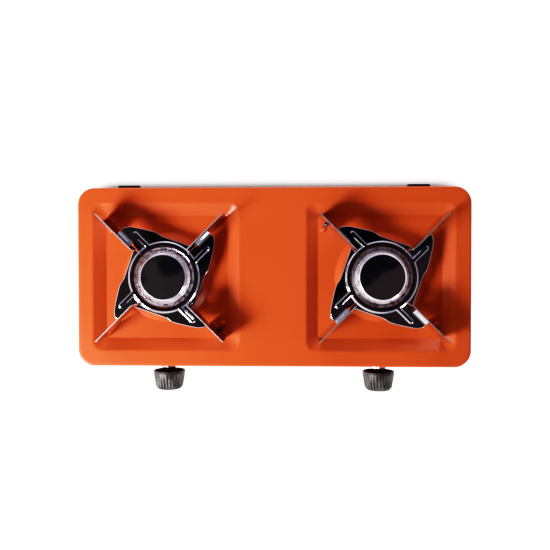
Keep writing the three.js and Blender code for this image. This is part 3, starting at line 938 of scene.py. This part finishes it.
def area_light(name, place, target, size, power, color=(1, 1, 1)):
    """A round area light at place, turned towards target."""
    light = bpy.data.lights.new(name, "AREA")
    light.shape = "DISK"
    light.size = size
    light.energy = power
    light.color = color
    obj = bpy.data.objects.new(name, light)
    obj.location = place
    aim = Vector(target) - Vector(place)
    obj.rotation_euler = aim.to_track_quat("-Z", "Y").to_euler()
    bpy.context.scene.collection.objects.link(obj)
    return obj


def studio_world():
    """A dark ceiling over light walls, with soft brown patches straight overhead.

    The walls are white at the front left and a dimmer, cooler grey everywhere else."""
    world = bpy.data.worlds.new("studio")
    world.use_nodes = True
    tree = world.node_tree
    coords = tree.nodes.new("ShaderNodeTexCoord")
    split = tree.nodes.new("ShaderNodeSeparateXYZ")
    tree.links.new(coords.outputs["Generated"], split.inputs["Vector"])
    height = ramp(
        tree, split.outputs["Z"],
        [(0.0, 1.2), (0.35, 0.82), (0.58, 0.4), (0.76, 0.15), (0.9, 0.05), (0.98, 0.022)],
    )
    facing = tree.nodes.new("ShaderNodeVectorMath")
    facing.operation = "DOT_PRODUCT"
    facing.inputs[1].default_value = (-0.82, -0.57, 0.0)
    tree.links.new(coords.outputs["Generated"], facing.inputs[0])
    shift = tree.nodes.new("ShaderNodeMapRange")
    shift.inputs["From Min"].default_value = -1
    tree.links.new(facing.outputs["Value"], shift.inputs["Value"])
    around = ramp(
        tree, shift.outputs["Result"],
        [(0.0, (0.3, 0.285, 0.35)), (0.3, (0.42, 0.4, 0.5)), (0.66, (0.52, 0.5, 0.6)),
         (0.9, (1.6, 1.55, 1.5))],
        True,
    )
    scaled = tree.nodes.new("ShaderNodeVectorMath")
    scaled.operation = "MULTIPLY"
    tree.links.new(height, scaled.inputs[0])
    tree.links.new(around, scaled.inputs[1])
    patches = tree.nodes.new("ShaderNodeTexNoise")
    patches.inputs["Scale"].default_value = 6.0
    patches.inputs["Detail"].default_value = 0.0
    tree.links.new(coords.outputs["Generated"], patches.inputs["Vector"])
    brown = ramp(
        tree, patches.outputs["Fac"],
        [(0.48, (0, 0, 0)), (0.53, (0.034, 0.026, 0.024))], True,
    )
    overhead = ramp(tree, split.outputs["Z"], [(0.8, 0.0), (0.88, 1.0)])
    ceiling = tree.nodes.new("ShaderNodeVectorMath")
    ceiling.operation = "MULTIPLY"
    tree.links.new(brown, ceiling.inputs[0])
    tree.links.new(overhead, ceiling.inputs[1])
    summed = tree.nodes.new("ShaderNodeVectorMath")
    summed.operation = "ADD"
    tree.links.new(scaled.outputs["Vector"], summed.inputs[0])
    tree.links.new(ceiling.outputs["Vector"], summed.inputs[1])
    back = tree.nodes["Background"]
    tree.links.new(summed.outputs["Vector"], back.inputs["Color"])
    back.inputs["Strength"].default_value = WORLD_STRENGTH
    bpy.context.scene.world = world


def lights():
    """A soft key from the front left, a weak fill from behind and a card for reflections."""
    key = area_light("key", (-0.73, -0.46, 0.72), (-0.15, -0.03, DECK_Z * MM), 0.38, KEY_POWER)
    key.data.spread = math.radians(110)
    fill = area_light("back_fill", (-0.15, 1.15, 0.4), MIDDLE, 0.9, BACK_FILL_POWER)
    fill.visible_glossy = False
    card = area_light(
        "reflection_card", (0.8, -0.75, 0.2), MIDDLE, 0.3, CARD_POWER, (1.0, 0.86, 0.8)
    )
    card.visible_diffuse = False


def film_response():
    """The camera's film curve: soft in the highlights, deep in the shadows.

    Light x becomes x^power / (x^power + knee), scaled so that the white level is 1. The
    curve's points lie closer together in the shadows, where it bends most."""
    view = bpy.context.scene.view_settings
    view.view_transform = "Standard"
    view.use_curve_mapping = True
    mapping = view.curve_mapping
    mapping.white_level = (FILM["white"],) * 3
    curve = mapping.curves[3]
    full = FILM["white"] ** FILM["power"]
    steps = 14
    for i in range(steps + 1):
        place = (i / steps) ** 2
        lit = (place * FILM["white"]) ** FILM["power"]
        value = lit / (lit + FILM["knee"]) * (full + FILM["knee"]) / full
        if i in (0, steps):
            curve.points[0 if i == 0 else -1].location = (place, value)
        else:
            curve.points.new(place, value)
    mapping.update()


def camera():
    """Straight above the stove and a little to its right, tilted back onto it."""
    data = bpy.data.cameras.new("camera")
    data.sensor_width = 36
    data.lens = LENS
    obj = bpy.data.objects.new("camera", data)
    obj.location = Vector(MIDDLE) + Vector((0.0296, 0.0155, 0.739))
    obj.rotation_euler = [math.radians(a) for a in (-1.008, 2.063, -0.035)]
    bpy.context.scene.collection.objects.link(obj)
    bpy.context.scene.camera = obj


# ---- Build ----

top_panel()
for side in SIDES:
    pan_support(side)
    burner_cap(side)
    port_ring(side)
    burner_bowl(side)
    knob(side)
    rear_pad(side)
    hex_nut(f"{side}_hex_nut", f"{side}_panel_nut", 17, 6.7)
for place in ("front_left", "front_right", "rear_left", "rear_right"):
    foot(place)
    pan_head_screw(f"{place}_foot_screw")
for i in range(6):
    pan_head_screw(f"base_screw_{i + 1}")
for node, obj in frame["nodes"].items():
    obj.data.materials.clear()
    obj.data.materials.append(SLOT_MATERIALS[NODE_SLOTS[node]])

floor()
studio_world()
lights()
camera()
film_response()
